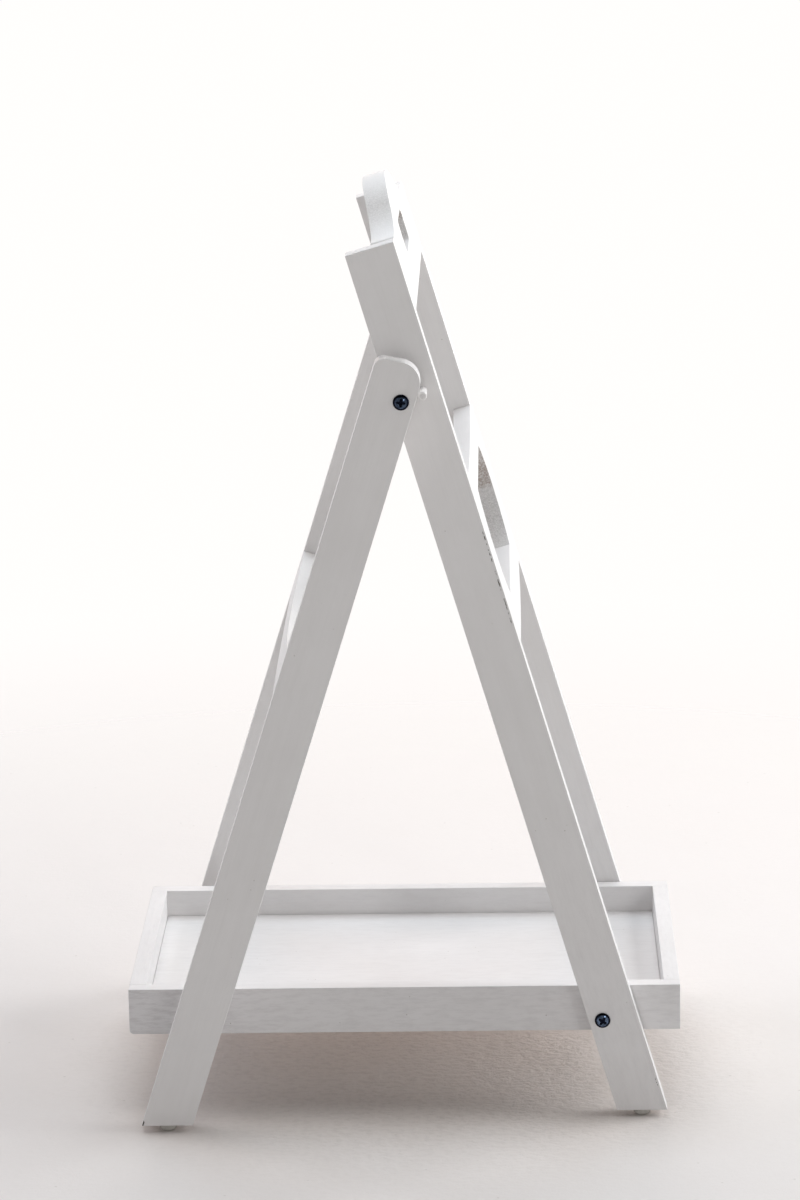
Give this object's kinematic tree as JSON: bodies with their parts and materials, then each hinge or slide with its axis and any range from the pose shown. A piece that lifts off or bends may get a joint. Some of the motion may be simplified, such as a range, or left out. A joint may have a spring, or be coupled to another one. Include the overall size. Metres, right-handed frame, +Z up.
{
  "type": "folding plant ladder stand",
  "caption": "White painted wooden A-frame stand with a hand-hole board, a window board and one long railed tray low between its legs; the rear frame folds and the tray tips up.",
  "frame": {"origin": "on the floor, under the middle of the tray", "axes": "+Z up; -Y is the front, where the leaning front frame's boards face; +X is to the right of someone who stands in front and looks at it"},
  "size_m": [0.415, 0.514, 0.8636],
  "materials": {
    "white_paint": "white satin paint over wood",
    "beech": "bare turned dowel",
    "blue_black_metal": "blue-black coated steel",
    "zinc_steel": "zinc-plated",
    "nylon": "moulded off-white nylon"
  },
  "bodies": {
    "front_frame": {"front_stile_left": "white_paint", "front_stile_right": "white_paint", "handle_board": "white_paint", "middle_board": "white_paint", "handle_board_dowels": "beech", "middle_board_dowels": "beech", "stop_pins": "white_paint", "pivot_bolts": "blue_black_metal", "pivot_spacers": "nylon", "pivot_inserts": "zinc_steel", "front_glides": "nylon", "front_glide_nails": "zinc_steel"},
    "rear_frame": {"rear_leg_left": "white_paint", "rear_leg_right": "white_paint", "rear_board": "white_paint", "rear_board_dowels": "beech", "tray_rod": "white_paint", "rear_glides": "nylon", "rear_glide_nails": "zinc_steel"},
    "tray": {"tray_side_left": "white_paint", "tray_side_right": "white_paint", "tray_front_rail": "white_paint", "tray_rear_rail": "white_paint", "tray_floor": "white_paint", "tray_corner_dowels": "beech", "tray_bolts": "blue_black_metal", "tray_washers": "nylon", "tray_inserts": "zinc_steel"}
  },
  "joints": [
    {"name": "rear_fold", "type": "hinge", "parent": "front_frame", "child": "rear_frame", "pos_m": [0, -0.00824, 0.68789], "axis": [-1, 0, 0], "range_deg": [0, 34]},
    {"name": "tray_tilt", "type": "hinge", "parent": "front_frame", "child": "tray", "pos_m": [0, -0.18413, 0.09544], "axis": [1, 0, 0], "range_deg": [0, 42]}
  ]
}
